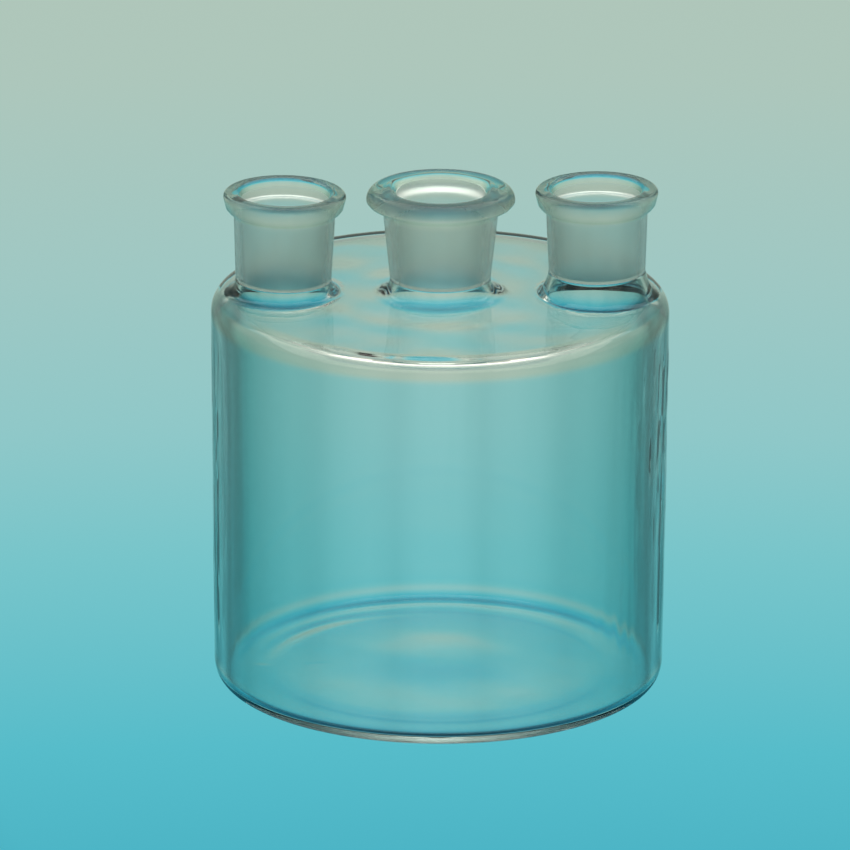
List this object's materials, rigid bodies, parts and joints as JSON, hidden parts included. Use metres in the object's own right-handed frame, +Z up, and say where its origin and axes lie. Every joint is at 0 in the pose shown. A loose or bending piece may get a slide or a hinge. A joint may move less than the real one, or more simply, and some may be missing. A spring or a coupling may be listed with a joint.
{
  "type": "three-neck flat-bottomed glass vessel",
  "caption": "Squat clear glass laboratory vessel with a flat base, rounded shoulder and a row of upright ground-glass sockets on its flat top.",
  "frame": {"origin": "centre of the base, on the plane the vessel stands on", "axes": "+Z up through the centre neck; the three necks stand in a row along X"},
  "size_m": [0.151, 0.151, 0.1695],
  "materials": {
    "clear_glass": "clear, fire-polished",
    "ground_socket_glass": "clear outside and on the rim, ground matt inside"
  },
  "bodies": {
    "root": {"vessel_body": "clear_glass", "centre_socket": "ground_socket_glass", "left_socket": "ground_socket_glass", "right_socket": "ground_socket_glass"}
  },
  "joints": []
}
